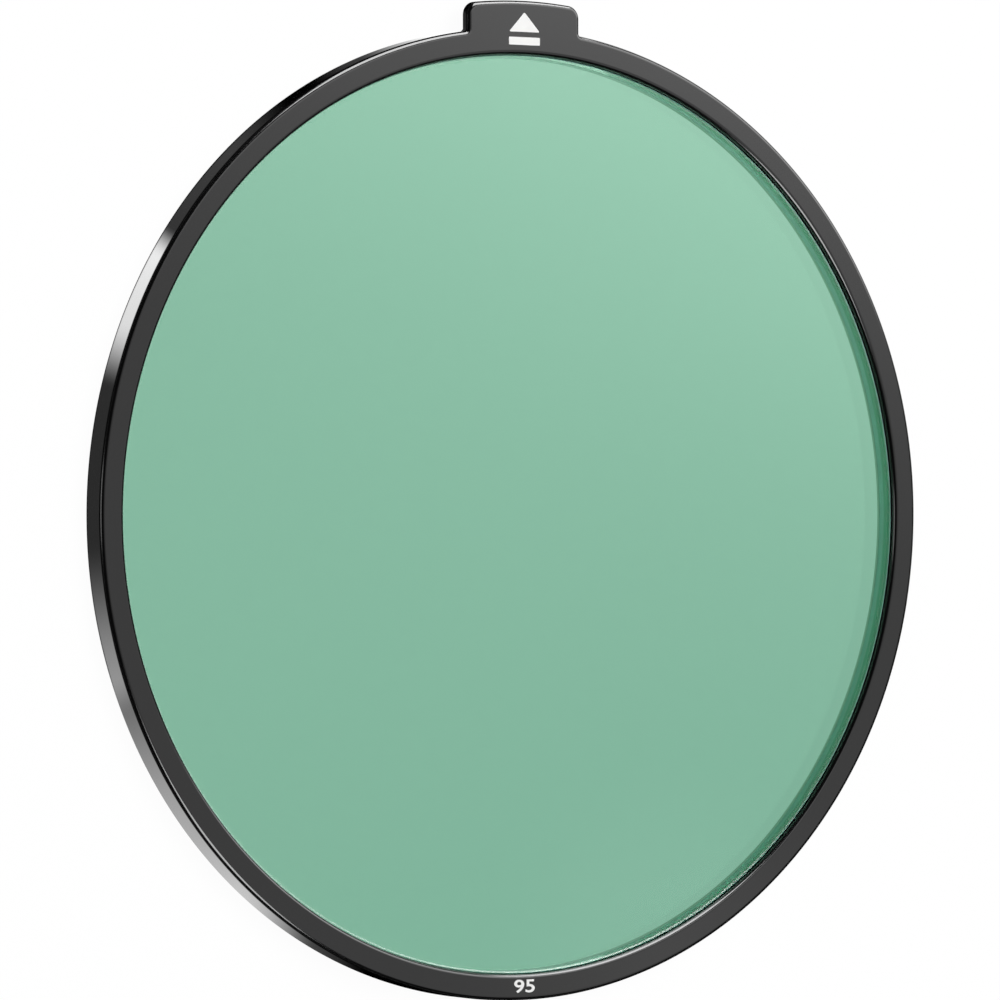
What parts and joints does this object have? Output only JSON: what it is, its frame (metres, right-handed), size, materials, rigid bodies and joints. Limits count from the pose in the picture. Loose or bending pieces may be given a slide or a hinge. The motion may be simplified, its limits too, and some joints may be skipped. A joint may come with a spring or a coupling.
{
  "type": "camera uv filter",
  "caption": "Round drop-in camera filter: a slim black ring frame with a short pull tab, holding a flat green-tinted glass disc bonded into its bore.",
  "frame": {"origin": "on the filter's axis, in the plane of the frame's rear face", "axes": "+Z along the filter's axis, out of the front face that the glass is recessed in; +Y towards the pull tab; +X to the right when the front face is looked at with the tab up"},
  "size_m": [0.095, 0.0977, 0.003],
  "materials": {
    "frame_black": "satin black anodised",
    "tinted_glass": "polished, coated, green tint",
    "clear_bond": "cured resin"
  },
  "bodies": {
    "root": {"filter_frame": "frame_black", "filter_glass": "tinted_glass", "glass_bond": "clear_bond"}
  },
  "joints": []
}
